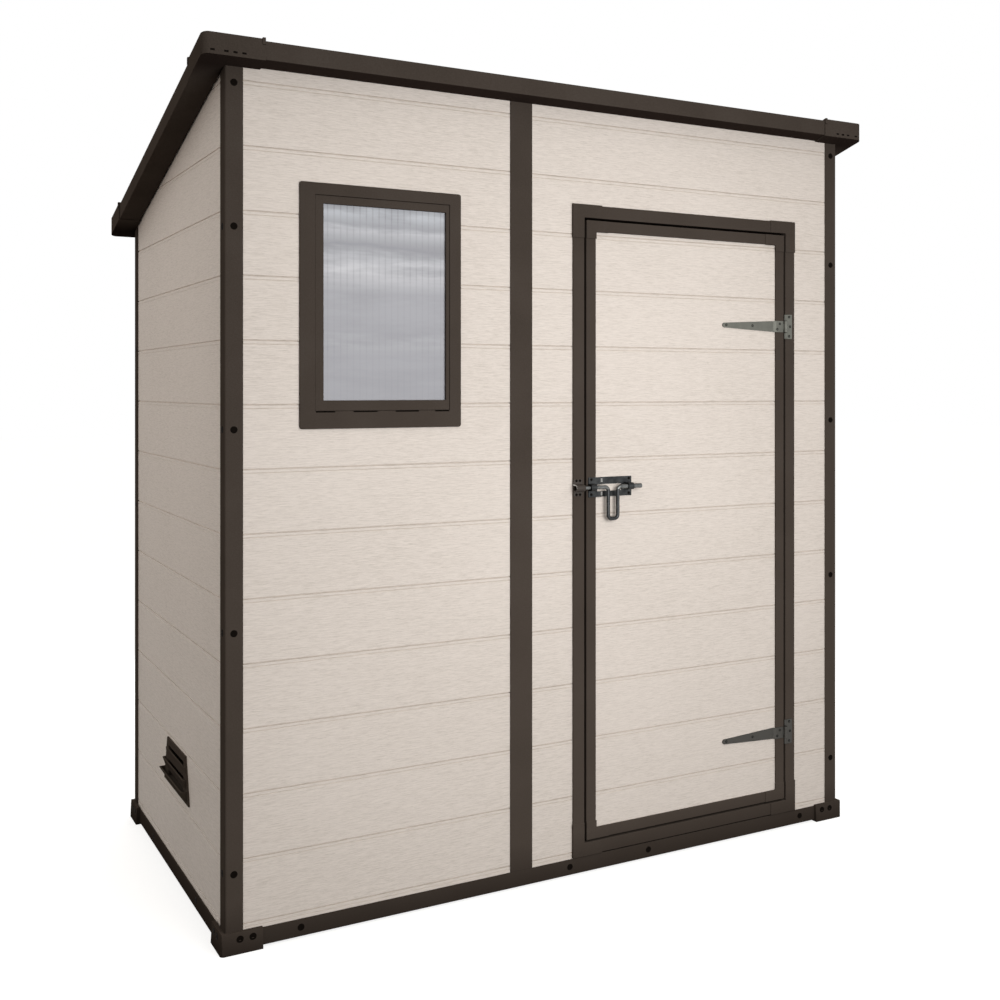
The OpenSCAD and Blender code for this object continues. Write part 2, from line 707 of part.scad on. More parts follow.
// A member of the leaf's frame, with a slot along its inner edge for the panel.
function stile_section() = [[0, trim_face], [stile_w, trim_face], [stile_w, panel_face - slack],
    [stile_w - seat, panel_face - slack], [stile_w - seat, panel_face + wall_t + slack],
    [stile_w, panel_face + wall_t + slack], [stile_w, leaf_back], [0, leaf_back]];
module stile(x, turn) {
    color(BROWN) translate([0, 0, leaf_low]) linear_extrude(leaf_top - leaf_low)
        polygon([for (p = stile_section()) [x + turn * p[0], p[1]]]);
}
module leaf_rail(z, turn) {
    color(BROWN) along_x([leaf_l + stile_w, leaf_r - stile_w],
        [for (p = stile_section()) [p[1], z + turn * p[0]]]);
}
module door_stile_latch_side() { stile(leaf_l, 1); }
module door_stile_hinge_side() { stile(leaf_r, -1); }
module door_rail_top() { leaf_rail(leaf_top, -1); }
module door_rail_bottom() { leaf_rail(leaf_low, 1); }
module door_corners() {
    color(BROWN) for (sx = [-1, 1], sz = [-1, 1]) {
        corner_piece(sx < 0 ? leaf_l : leaf_r, sz < 0 ? leaf_low : leaf_top, -sx, -sz,
            stile_w + corner_lap, [leaf_arm, corner_arm - trim_w - door_gap],
            [trim_face - corner_t, trim_face]);
    }
}

// A guide that holds the rod: a block from the plate with a rounded front and a bore.
module guide(x, back, bore) {
    difference() {
        union() {
            block([x, x + guide_w], [rod_y, back], [bolt_z - guide_r, bolt_z + guide_r]);
            translate([x, rod_y, bolt_z]) rotate([0, 90, 0]) cylinder(r = guide_r, h = guide_w);
        }
        translate([x - past, rod_y, bolt_z]) rotate([0, 90, 0])
            cylinder(r = bore + bolt_play, h = guide_w + 2 * past);
    }
}
plate_l = leaf_l + 5;
plate_r = plate_l + bolt_plate[1];
module latch_plate() {
    bent = leaf_l + stile_w + plate_over;
    step = panel_recess + 2;
    window = [leaf_l + stile_w + 2, plate_r - guide_w - 14];
    color(STEEL) union() {
        difference() {
            translate([0, 0, bolt_z - bolt_plate[0] / 2]) linear_extrude(bolt_plate[0]) polygon([
                [plate_l, trim_face], [bent, trim_face], [bent + step, panel_face],
                [plate_r, panel_face], [plate_r, panel_face - steel], [bent + step, panel_face - steel],
                [bent, trim_face - steel], [plate_l, trim_face - steel]]);
            block(window, [trim_face - 2 * steel, panel_face + past], [bolt_z - 11, bolt_z + 7]);
        }
        guide(plate_l, trim_face - steel + past, bolt_r);
        guide(plate_r - guide_w - 4, panel_face - steel + past, sleeve_r);
    }
}

// A quarter bend of the rod in the plane of the leaf, about its own middle.
module bend(x, z, turn) {
    translate([x, rod_y, z]) rotate([90, turn, 0]) rotate_extrude(angle = 90)
        translate([bend_r, 0]) circle(bolt_r);
}
module rod_x(x0, x1, r) {
    translate([x0, rod_y, bolt_z]) rotate([0, 90, 0]) cylinder(r = r, h = x1 - x0);
}
module rod_z(x, z0, z1) {
    translate([x, rod_y, z0]) cylinder(r = bolt_r, h = z1 - z0);
}

// The bolt: one rod bent down into a loop between its two guides, with a sleeve on its tail.
module latch_bolt() {
    leg_l = leg_x;
    leg_r = leg_x + handle_w;
    low = bolt_z - handle_drop + bolt_r + bend_r;
    color(STEEL) union() {
        rod_x(rod_tip, leg_l - bend_r, bolt_r);
        rod_x(leg_r + bend_r, rod_tip + bolt_len, sleeve_r);
        rod_z(leg_l, low, bolt_z - bend_r);
        rod_z(leg_r, low, bolt_z - bend_r);
        translate([leg_l + bend_r, rod_y, low - bend_r]) rotate([0, 90, 0])
            cylinder(r = bolt_r, h = handle_w - 2 * bend_r);
        bend(leg_l - bend_r, bolt_z - bend_r, 0);
        bend(leg_r + bend_r, bolt_z - bend_r, -90);
        bend(leg_l + bend_r, low, 180);
        bend(leg_r - bend_r, low, 90);
    }
}

// The keeper on the jamb: a strap with a hump that the rod slides into.
module latch_keeper() {
    half = bolt_plate[0] / 2 - 4;
    x = open_l - trim_w;
    color(STEEL) difference() {
        union() {
            block([x, x + keeper_w], [trim_face - keeper_t, trim_face], [bolt_z - half, bolt_z + half]);
            block([x, x + keeper_w], [rod_y, trim_face],
                [bolt_z - keeper_in - keeper_t, bolt_z + keeper_in + keeper_t]);
            translate([x, rod_y, bolt_z]) rotate([0, 90, 0]) cylinder(r = keeper_in + keeper_t, h = keeper_w);
        }
        translate([x - past, rod_y, bolt_z]) rotate([0, 90, 0])
            cylinder(r = keeper_in, h = keeper_w + 2 * past);
        block([x - past, x + keeper_w + past], [rod_y, trim_face + past],
            [bolt_z - keeper_in, bolt_z + keeper_in]);
    }
}

floor();
base_rails();
corner_feet();
corner_post(-1, -1);  // corner_post_front_left
corner_post(1, -1);  // corner_post_front_right
corner_post(-1, 1);  // corner_post_rear_left
corner_post(1, 1);  // corner_post_rear_right
centre_post(mid_x, -1);  // centre_post_front
centre_post(0, 1);  // centre_post_rear
front_wall_left();
front_wall_latch_side();
front_wall_hinge_side();
front_wall_over_door();
left_wall();
right_wall();
rear_wall_left();
rear_wall_right();
door_jamb_latch_side();
door_jamb_hinge_side();
door_head();
door_sill();
door_surround_corners();
window_frame();
window_sash();
window_pane();
left_vent();
right_vent();
roof_panel_left();
roof_panel_right();
roof_joint_strip();
roof_fascia_front();
roof_fascia_rear();
roof_fascia_left();
roof_fascia_right();
roof_corner_caps();
hinge_plates();
latch_keeper();
door_panel();
door_stile_latch_side();
door_stile_hinge_side();
door_rail_top();
door_rail_bottom();
door_corners();
hinge_straps();
latch_plate();
latch_bolt();
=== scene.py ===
# Looks of the garden shed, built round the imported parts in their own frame. Metres, +Z up, front at -Y.
import bpy
import json
import math
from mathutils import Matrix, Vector


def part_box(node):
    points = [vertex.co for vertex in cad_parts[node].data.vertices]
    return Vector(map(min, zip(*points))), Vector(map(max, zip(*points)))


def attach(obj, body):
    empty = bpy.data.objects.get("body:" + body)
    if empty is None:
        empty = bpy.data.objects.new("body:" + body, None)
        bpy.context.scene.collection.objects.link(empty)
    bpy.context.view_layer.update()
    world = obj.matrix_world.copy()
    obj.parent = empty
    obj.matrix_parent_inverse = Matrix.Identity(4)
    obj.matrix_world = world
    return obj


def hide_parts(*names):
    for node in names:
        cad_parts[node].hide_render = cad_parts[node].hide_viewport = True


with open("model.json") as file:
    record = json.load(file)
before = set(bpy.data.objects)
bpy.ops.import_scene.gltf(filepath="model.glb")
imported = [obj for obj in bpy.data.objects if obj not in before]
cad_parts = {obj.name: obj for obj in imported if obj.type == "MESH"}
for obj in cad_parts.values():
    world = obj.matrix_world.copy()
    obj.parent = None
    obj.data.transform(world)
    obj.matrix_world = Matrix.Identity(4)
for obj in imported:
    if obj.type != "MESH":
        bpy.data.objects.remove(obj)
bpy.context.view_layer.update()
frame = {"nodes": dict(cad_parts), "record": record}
nodes = frame["nodes"]
MM = 0.001
FRONT, LEFT, REAR, RIGHT = 0.0, -math.pi / 2, math.pi, math.pi / 2


# Materials

# A Mix node's sockets for colours, by number, because the same names serve its other kinds of value
FACTOR, COLOUR_A, COLOUR_B, COLOUR_OUT = 0, 6, 7, 2


def linear(code):
    """An sRGB hex colour as linear RGBA."""
    parts = [int(code[i:i + 2], 16) / 255 for i in (1, 3, 5)]
    return [c / 12.92 if c <= 0.04045 else ((c + 0.055) / 1.055) ** 2.4 for c in parts] + [1.0]


def add(tree, kind, settings, sockets):
    """Adds a node with its settings, a ramp's (place, hex) stops among them, and fills or links its
    sockets."""
    node = tree.nodes.new(kind)
    for name, value in settings.items():
        if name != "stops":
            setattr(node, name, value)
            continue
        elements = node.color_ramp.elements
        while len(elements) < len(value):
            elements.new(0.5)
        for element, (place, code) in zip(elements, value):
            element.position = place
            element.color = linear(code)
    for name, value in sockets.items():
        if isinstance(value, bpy.types.NodeSocket):
            tree.links.new(value, node.inputs[name])
        else:
            node.inputs[name].default_value = value
    return node


def finish(name, roughness, metallic=0.0, specular=0.5):
    """A new material with its shader and the object's own coordinates."""
    material = bpy.data.materials.new(name)
    material.use_nodes = True
    tree = material.node_tree
    shader = tree.nodes["Principled BSDF"]
    shader.inputs["Roughness"].default_value = roughness
    shader.inputs["Metallic"].default_value = metallic
    shader.inputs["Specular IOR Level"].default_value = specular
    return material, tree, shader, add(tree, "ShaderNodeTexCoord", {}, {}).outputs["Object"]


# Board lines: the height of a board, the top of the lowest line, the height of a line, how far below its
# top the finer line starts and ends, and how soft their edges are
BOARD = 142 * MM
BOARD_FIRST = 60 * MM
LINE_H = 2.8 * MM
FINE_LINE = (8.4 * MM, 11.2 * MM)
LINE_EDGE = 0.4 * MM
# The tints of the painted shade in them, darkest in each line and faint in the finer one, and how much of
# it shows
LINE_SHADE, FINE_LINE_SHADE, CLEAN = "#eae8e5", "#f1efec", "#ffffff"
LINE_SHADE_SHARE = 0.84
# The outer skins of the front and rear lie further out than this
SKIN_Y = 510 * MM


def board_line_shade(tree, place):
    """A painted shade that is darkest in each board line and faint in the finer line under it."""
    height = add(tree, "ShaderNodeSeparateXYZ", {}, {"Vector": place}).outputs["Z"]
    above = add(tree, "ShaderNodeMath", {"operation": "SUBTRACT"}, {0: BOARD_FIRST, 1: height})
    below = add(tree, "ShaderNodeMath", {"operation": "FLOORED_MODULO"}, {0: above.outputs[0], 1: BOARD})
    share = add(tree, "ShaderNodeMath", {"operation": "DIVIDE"}, {0: below.outputs[0], 1: BOARD})
    line, high, low, edge = [size / BOARD for size in (LINE_H, *FINE_LINE, LINE_EDGE)]
    stops = [(0.0, LINE_SHADE), (line, LINE_SHADE), (line + edge, CLEAN), (high, CLEAN),
             (high + edge, FINE_LINE_SHADE), (low - edge, FINE_LINE_SHADE), (low, CLEAN)]
    return add(tree, "ShaderNodeValToRGB", {"stops": stops}, {"Fac": share.outputs[0]}).outputs["Color"]


def line_shade_share(tree, place):
    """How much painted shade the board lines get: at the front and rear, and nowhere else."""
    depth = add(tree, "ShaderNodeSeparateXYZ", {}, {"Vector": place}).outputs["Y"]
    size = add(tree, "ShaderNodeMath", {"operation": "ABSOLUTE"}, {0: depth})
    past = add(tree, "ShaderNodeMath", {"operation": "GREATER_THAN"}, {0: size.outputs[0], 1: SKIN_Y})
    dust = add(tree, "ShaderNodeMath", {"operation": "MULTIPLY"}, {0: past.outputs[0], 1: LINE_SHADE_SHARE})
    return dust.outputs[0]


def moulded_beige():
    """Polypropylene panels, moulded against a tool with a shallow wood grain: matt, warm beige, with fine
    level strokes a centimetre or two long that catch the light, and painted shade in the board lines."""
    material, tree, shader, place = finish("beige_polypropylene_moulded_grain", roughness=0.62,
                                           specular=0.25)
    stroke_long, stroke_high, cloud = 23 * MM, 1.2 * MM, 420 * MM
    strokes = add(tree, "ShaderNodeMapping", {},
                  {"Vector": place, "Scale": (1 / stroke_long, 1 / stroke_long, 1 / stroke_high)})
    grain = add(tree, "ShaderNodeTexNoise", {}, {"Vector": strokes.outputs[0], "Scale": 1.0, "Detail": 4.0,
                                                 "Roughness": 0.78, "Distortion": 0.2})
    drift = add(tree, "ShaderNodeTexNoise", {}, {"Vector": place, "Scale": 1 / cloud, "Detail": 2.0})
    blend = add(tree, "ShaderNodeMix", {"data_type": "FLOAT"},
                {"Factor": 0.12, "A": grain.outputs["Fac"], "B": drift.outputs["Fac"]})
    stops = [(0.3, "#c5bbb0"), (0.5, "#e0d6cd"), (0.7, "#ede3da")]
    shade = add(tree, "ShaderNodeValToRGB", {"stops": stops}, {"Fac": blend.outputs[0]})
    press = add(tree, "ShaderNodeBump", {},
                {"Strength": 0.33, "Distance": 0.4 * MM, "Height": grain.outputs["Fac"]})
    # Painted shade: the board lines darkened by a tint, on the front and rear skins only
    line_shaded = add(tree, "ShaderNodeMix", {"data_type": "RGBA", "blend_type": "MULTIPLY"},
                {FACTOR: line_shade_share(tree, place), COLOUR_A: shade.outputs["Color"],
                 COLOUR_B: board_line_shade(tree, place)})
    tree.links.new(line_shaded.outputs[COLOUR_OUT], shader.inputs["Base Color"])
    tree.links.new(press.outputs[0], shader.inputs["Normal"])
    return material


# Painted light and shade that fade with height: how high they reach, their share at the ground, and their
# colour
# Painted shade on the brown trim, darker towards the ground
BASE_SHADE = (110 * MM, 0.62, "#1c1511")
# Painted light: the brown lifted paler down the posts, towards the ground
LOW_LIGHT_LIFT = (1200 * MM, 0.24, "#665b52")
# Painted shade on the hinges, darker the lower they are
HINGE_SHADE = (1500 * MM, 0.92, "#393635")


def height_shade(tree, place, shade, reach, most, painted_tone):
    """Mixes in painted light and shade below a height in metres, most at the ground."""
    height = add(tree, "ShaderNodeSeparateXYZ", {}, {"Vector": place}).outputs["Z"]
    share = add(tree, "ShaderNodeMapRange", {},
                {"Value": height, "From Max": reach, "To Min": most, "To Max": 0.0})
    mixed = add(tree, "ShaderNodeMix", {"data_type": "RGBA"},
                {FACTOR: share.outputs[0], COLOUR_A: shade, COLOUR_B: linear(painted_tone)})
    return mixed.outputs[COLOUR_OUT]


# The painted shade under the front and rear eaves grows over this far out, from none to all
SHADED_Y = (430 * MM, 520 * MM)
# The upward part of a normal, where a face looks down and where it no longer does
DOWNWARD = (-0.9, -0.4)
# Colour of the painted shade on faces that look down
UNDERSIDE_SHADE = "#2d2521"


def painted_underside_shade(tree, place, shade):
    """Painted shade: faces that look down at the front and rear turn deep brown."""
    facing = add(tree, "ShaderNodeTexCoord", {}, {}).outputs["Normal"]
    upward = add(tree, "ShaderNodeSeparateXYZ", {}, {"Vector": facing}).outputs["Z"]
    below = add(tree, "ShaderNodeMapRange", {},
                {"Value": upward, "From Min": DOWNWARD[0], "From Max": DOWNWARD[1],
                 "To Min": 1.0, "To Max": 0.0})
    depth = add(tree, "ShaderNodeSeparateXYZ", {}, {"Vector": place}).outputs["Y"]
    out = add(tree, "ShaderNodeMath", {"operation": "ABSOLUTE"}, {0: depth})
    end = add(tree, "ShaderNodeMapRange", {},
              {"Value": out.outputs[0], "From Min": SHADED_Y[0], "From Max": SHADED_Y[1]})
    share = add(tree, "ShaderNodeMath", {"operation": "MULTIPLY"}, {0: below.outputs[0], 1: end.outputs[0]})
    mixed = add(tree, "ShaderNodeMix", {"data_type": "RGBA"},
                {FACTOR: share.outputs[0], COLOUR_A: shade, COLOUR_B: linear(UNDERSIDE_SHADE)})
    return mixed.outputs[COLOUR_OUT]


def moulded_brown():
    """Dark brown polypropylene of the posts, rails and roof: dead matt, with a fine spark-eroded pebble, a
    painted lift of light that grows down the posts, and painted shade underneath and near the ground."""
    material, tree, shader, place = finish("brown_polypropylene_matt", roughness=0.8, specular=0.0)
    pebble, cloud = 2.6 * MM, 150 * MM
    grit = add(tree, "ShaderNodeTexNoise", {}, {"Vector": place, "Scale": 1 / pebble, "Detail": 2.0})
    drift = add(tree, "ShaderNodeTexNoise", {}, {"Vector": place, "Scale": 1 / cloud, "Detail": 3.0})
    blend = add(tree, "ShaderNodeMix", {"data_type": "FLOAT"},
                {"Factor": 0.45, "A": grit.outputs["Fac"], "B": drift.outputs["Fac"]})
    stops = [(0.3, "#423b35"), (0.52, "#49413b"), (0.75, "#4f4842")]
    brown = add(tree, "ShaderNodeValToRGB", {"stops": stops}, {"Fac": blend.outputs[0]})
    press = add(tree, "ShaderNodeBump", {},
                {"Strength": 0.25, "Distance": 0.15 * MM, "Height": grit.outputs["Fac"]})
    # Painted light, paler towards the ground
    shade = height_shade(tree, place, brown.outputs["Color"], *LOW_LIGHT_LIFT)
    # Painted shade on faces that look down under the front and rear eaves
    shade = painted_underside_shade(tree, place, shade)
    # Painted shade near the ground
    shade = height_shade(tree, place, shade, *BASE_SHADE)
    tree.links.new(shade, shader.inputs["Base Color"])
    tree.links.new(press.outputs[0], shader.inputs["Normal"])
    return material


# The bolt: the height of its axis, the painted highlights on the bends of its plate, across and then above
# and below the axis, half the height of its rod, where its painted sheen lies, and the keeper's mouth: half
# its painted glint, and the normal's part along X there
BOLT_Z = 979 * MM
BEND_X, BEND_HALF = 82 * MM, 3.6 * MM
BEND_UP, BEND_TALL = 17 * MM, 5 * MM
ROD_HALF = 5.5 * MM
MOUTH_HALF, MOUTH_FACING = 5 * MM, -0.9
# Painted highlight colours: on the plate's bends, along the rod's straight run, and on the keeper's mouth
BEND_HIGHLIGHT, ROD_SHEEN, MOUTH_GLINT = "#e4e2de", "#666766", "#d4d4d1"


def shaded_low_hinge(tree, place, shade):
    """The hinges, with painted shade: the low one is darker than the high one."""
    return height_shade(tree, place, shade, *HINGE_SHADE)


def painted_bend_highlights(tree, place, shade):
    """Painted highlights on the two bends of the bolt's plate."""
    axes = add(tree, "ShaderNodeSeparateXYZ", {}, {"Vector": place})
    across = add(tree, "ShaderNodeMath", {"operation": "COMPARE"},
                 {0: axes.outputs["X"], 1: BEND_X, 2: BEND_HALF})
    rise = add(tree, "ShaderNodeMath", {"operation": "SUBTRACT"}, {0: axes.outputs["Z"], 1: BOLT_Z})
    up = add(tree, "ShaderNodeMath", {"operation": "ABSOLUTE"}, {0: rise.outputs[0]})
    along = add(tree, "ShaderNodeMath", {"operation": "COMPARE"},
                {0: up.outputs[0], 1: BEND_UP, 2: BEND_TALL})
    bend_glint = add(tree, "ShaderNodeMath", {"operation": "MULTIPLY"},
                 {0: across.outputs[0], 1: along.outputs[0]})
    mixed = add(tree, "ShaderNodeMix", {"data_type": "RGBA"},
                {FACTOR: bend_glint.outputs[0], COLOUR_A: shade, COLOUR_B: linear(BEND_HIGHLIGHT)})
    return mixed.outputs[COLOUR_OUT]


def painted_rod_sheen(tree, place, shade):
    """A painted sheen, paler, along the straight run of the bolt; the loop handle stays dark."""
    height = add(tree, "ShaderNodeSeparateXYZ", {}, {"Vector": place}).outputs["Z"]
    sheen_band = add(tree, "ShaderNodeMath", {"operation": "COMPARE"}, {0: height, 1: BOLT_Z, 2: ROD_HALF})
    mixed = add(tree, "ShaderNodeMix", {"data_type": "RGBA"},
                {FACTOR: sheen_band.outputs[0], COLOUR_A: shade, COLOUR_B: linear(ROD_SHEEN)})
    return mixed.outputs[COLOUR_OUT]


def painted_mouth_glint(tree, place, shade):
    """A painted glint on the sheared edge at the mouth of the keeper, above the bolt's tip."""
    facing = add(tree, "ShaderNodeTexCoord", {}, {}).outputs["Normal"]
    outward = add(tree, "ShaderNodeSeparateXYZ", {}, {"Vector": facing}).outputs["X"]
    height = add(tree, "ShaderNodeSeparateXYZ", {}, {"Vector": place}).outputs["Z"]
    mouth = add(tree, "ShaderNodeMath", {"operation": "LESS_THAN"}, {0: outward, 1: MOUTH_FACING})
    over = add(tree, "ShaderNodeMath", {"operation": "COMPARE"},
               {0: height, 1: BOLT_Z + MOUTH_HALF, 2: MOUTH_HALF})
    glint = add(tree, "ShaderNodeMath", {"operation": "MULTIPLY"}, {0: mouth.outputs[0], 1: over.outputs[0]})
    mixed = add(tree, "ShaderNodeMix", {"data_type": "RGBA"},
                {FACTOR: glint.outputs[0], COLOUR_A: shade, COLOUR_B: linear(MOUTH_GLINT)})
    return mixed.outputs[COLOUR_OUT]


def plated_steel(name, dark, light, roughness, painted_mark=None):
    """Pressed, bent or headed steel with a plated or blackened skin: grey metal with soft cloudy patches,
    and the painted light and shade that its place brings."""
    material, tree, shader, place = finish(name, roughness, metallic=1.0)
    patch, grit = 14 * MM, 1.1 * MM
    cloud = add(tree, "ShaderNodeTexNoise", {}, {"Vector": place, "Scale": 1 / patch, "Detail": 4.0})
    speck = add(tree, "ShaderNodeTexNoise", {}, {"Vector": place, "Scale": 1 / grit, "Detail": 1.0})
    patches = add(tree, "ShaderNodeValToRGB", {"stops": [(0.35, dark), (0.7, light)]},
                  {"Fac": cloud.outputs["Fac"]})
    press = add(tree, "ShaderNodeBump", {},
                {"Strength": 0.2, "Distance": 0.1 * MM, "Height": speck.outputs["Fac"]})
    gloss = add(tree, "ShaderNodeMapRange", {},
                {"Value": cloud.outputs["Fac"], "From Min": 0.3, "From Max": 0.7,
                 "To Min": roughness - 0.06, "To Max": roughness + 0.1})
    shade = patches.outputs["Color"]
    # Painted light and shade for this piece, if any
    if painted_mark:
        shade = painted_mark(tree, place, shade)
    tree.links.new(shade, shader.inputs["Base Color"])
    tree.links.new(gloss.outputs[0], shader.inputs["Roughness"])
    tree.links.new(press.outputs[0], shader.inputs["Normal"])
    return material


def painted_steel():
    """Steel strip stove-painted to match the brown trim: a thin gloss that shows on its round hump, and a
    painted glint on the rim where the bolt goes in."""
    material, tree, shader, place = finish("brown_stove_painted_steel", roughness=0.35, specular=0.2)
    peel = 2 * MM
    dimples = add(tree, "ShaderNodeTexNoise", {}, {"Vector": place, "Scale": 1 / peel, "Detail": 2.0})
    paint = add(tree, "ShaderNodeValToRGB", {"stops": [(0.3, "#38312c"), (0.7, "#413a34")]},
                {"Fac": dimples.outputs["Fac"]})
    press = add(tree, "ShaderNodeBump", {},
                {"Strength": 0.15, "Distance": 0.1 * MM, "Height": dimples.outputs["Fac"]})
    # Painted glint at the keeper's mouth over the brown paint
    tree.links.new(painted_mouth_glint(tree, place, paint.outputs["Color"]), shader.inputs["Base Color"])
    tree.links.new(press.outputs[0], shader.inputs["Normal"])
    return material


def dark_nylon():
    """Moulded nylon of the screw caps, flaps and plugs: nearly black brown and matt."""
    material, tree, shader, place = finish("dark_nylon_cap", roughness=0.7, specular=0.02)
    grain = 1.5 * MM
    grit = add(tree, "ShaderNodeTexNoise", {}, {"Vector": place, "Scale": 1 / grain, "Detail": 2.0})
    shade = add(tree, "ShaderNodeValToRGB", {"stops": [(0.3, "#0c0907"), (0.7, "#15100c")]},
                {"Fac": grit.outputs["Fac"]})
    tree.links.new(shade.outputs["Color"], shader.inputs["Base Color"])
    return material


# Light and shade on the glazing from its foot to its head
SHEET_BANDS = [(0.03, "#95959b"), (0.28, "#98989e"), (0.34, "#a5a5aa"), (0.41, "#9a9aa0"),
               (0.6, "#9f9fa5"), (0.7, "#c6c6ca"), (0.78, "#b6b7bc"), (0.84, "#8e8f95"),
               (0.91, "#bfc0c5"), (0.95, "#a3a5ab"), (1.0, "#c2c6cc")]
SHEET_SMEAR = "#8d8d93"
# How far the bands waver, as a share of the height
SHEET_WAVER = 0.1


def milky_sheet(low, high, cell):
    """Twin-wall polycarbonate: a milky grey skin with wavering level bands of light and shade, strongest
    near the top, and the webs behind it showing as faint upright lines one cell apart."""
    material, tree, shader, place = finish("twin_wall_polycarbonate", roughness=0.3, specular=0.3)
    wave_long, wave_high = 170 * MM, 30 * MM
    axes = add(tree, "ShaderNodeSeparateXYZ", {}, {"Vector": place})
    smear = add(tree, "ShaderNodeMapping", {},
                {"Vector": place, "Scale": (1 / wave_long, 1.0, 1 / wave_high)})
    ripple = add(tree, "ShaderNodeTexNoise", {},
                 {"Vector": smear.outputs[0], "Scale": 1.0, "Detail": 3.0, "Roughness": 0.6})
    share = add(tree, "ShaderNodeMapRange", {},
                {"Value": axes.outputs["Z"], "From Min": low.z, "From Max": high.z})
    waver = add(tree, "ShaderNodeMath", {"operation": "MULTIPLY_ADD"},
                {0: ripple.outputs["Fac"], 1: SHEET_WAVER, 2: share.outputs[0]})
    bands = add(tree, "ShaderNodeValToRGB", {"stops": SHEET_BANDS}, {"Fac": waver.outputs[0]})
    along = add(tree, "ShaderNodeMath", {"operation": "SUBTRACT"}, {0: axes.outputs["X"], 1: low.x})
    count = add(tree, "ShaderNodeMath", {"operation": "DIVIDE"}, {0: along.outputs[0], 1: cell})
    away = add(tree, "ShaderNodeMath", {"operation": "PINGPONG"}, {0: count.outputs[0], 1: 0.5})
    web = add(tree, "ShaderNodeMapRange", {"interpolation_type": "SMOOTHSTEP"},
              {"Value": away.outputs[0], "From Min": 0.03, "From Max": 0.16, "To Min": 0.3, "To Max": 0.0})
    smudge = add(tree, "ShaderNodeMapRange", {},
                 {"Value": ripple.outputs["Fac"], "From Min": 0.36, "From Max": 0.66, "To Max": 0.65})
    greyed = add(tree, "ShaderNodeMath", {"operation": "ADD"}, {0: smudge.outputs[0], 1: web.outputs[0]})
    tint = add(tree, "ShaderNodeMix", {"data_type": "RGBA"},
               {FACTOR: greyed.outputs[0], COLOUR_A: bands.outputs["Color"], COLOUR_B: linear(SHEET_SMEAR)})
    tree.links.new(tint.outputs[COLOUR_OUT], shader.inputs["Base Color"])
    return material


BEIGE = moulded_beige()
BROWN = moulded_brown()
# The hinges get painted shade low down, the bolt's plate painted highlights on its bends, and its rod a
# painted sheen
ZINC = plated_steel("zinc_plated_steel", "#666660", "#72726b", 0.6, shaded_low_hinge)
BENT_ZINC = plated_steel("black_passivated_steel_bent", "#2c2d2e", "#3d3e3e", 0.36, painted_bend_highlights)
ROD_ZINC = plated_steel("black_passivated_rod", "#2f3031", "#3b3c3d", 0.26, painted_rod_sheen)
BLACK_OXIDE = plated_steel("black_oxide_screw_steel", "#1d1d1c", "#2a2a28", 0.45)
PAINTED = painted_steel()
NYLON = dark_nylon()

SLOT_FINISH = {"panel_resin": BEIGE, "trim_resin": BROWN}
NODE_FINISH = {"hinge_plates": ZINC, "hinge_straps": ZINC, "latch_plate": BENT_ZINC,
               "latch_bolt": ROD_ZINC, "latch_keeper": PAINTED}
for part in frame["record"]["subparts"]:
    wanted = NODE_FINISH.get(part["node"], SLOT_FINISH.get(part["material_slot"]))
    if wanted:
        nodes[part["node"]].data.materials.clear()
        nodes[part["node"]].data.materials.append(wanted)


# Edges of the moulded trim

MOULD_R = 0.8 * MM
ROUND_STEPS = 2
JOIN_GAP = 0.01 * MM
FLAT_ANGLE = math.radians(1)
ARRIS_ANGLE = math.radians(32)


def ease(name):
    """Gives every arris of a moulded part the small radius that a mould leaves."""
    node = nodes[name]
    weld = node.modifiers.new("join", "WELD")
    weld.merge_threshold = JOIN_GAP
    flat = node.modifiers.new("flatten", "DECIMATE")
    flat.decimate_type = "DISSOLVE"
    flat.angle_limit = FLAT_ANGLE
    edge = node.modifiers.new("ease", "BEVEL")
    edge.width = MOULD_R
    edge.segments = ROUND_STEPS
    edge.limit_method = "ANGLE"
    edge.angle_limit = ARRIS_ANGLE


for part in frame["record"]["subparts"]:
    if part["material_slot"] == "trim_resin":
        ease(part["node"])


# Modelling helpers

HEAD_SIDES = 24
# A head's rim, dish and well, as shares of its radius and of its rise
RIM_IN, RIM_UP = 0.18, 0.25
DISH_IN, DISH_DOWN = 0.32, 0.1
WELL_IN = 0.06
SMOOTH_ANGLE = math.radians(40)
# How nearly a face has to look along an axis to be picked: roughly, or so that no eased edge is taken
FACING, SQUARE_ON = 0.9, 0.99


def pick(test):
    """In the mesh in hand, selects the faces whose middle and normal pass the test."""
    bpy.ops.object.mode_set(mode="OBJECT")
    bpy.context.tool_settings.mesh_select_mode = (False, False, True)
    mesh = bpy.context.object.data
    for group in (mesh.vertices, mesh.edges, mesh.polygons):
        group.foreach_set("select", [False] * len(group))
    for face in mesh.polygons:
        face.select = bool(test(face.center, face.normal))
    bpy.ops.object.mode_set(mode="EDIT")


def settle(obj):
    """Puts an object's place and turn into its mesh."""
    bpy.ops.object.mode_set(mode="OBJECT")
    bpy.ops.object.select_all(action="DESELECT")
    obj.select_set(True)
    bpy.context.view_layer.objects.active = obj
    bpy.ops.object.transform_apply(location=True, rotation=True, scale=True)


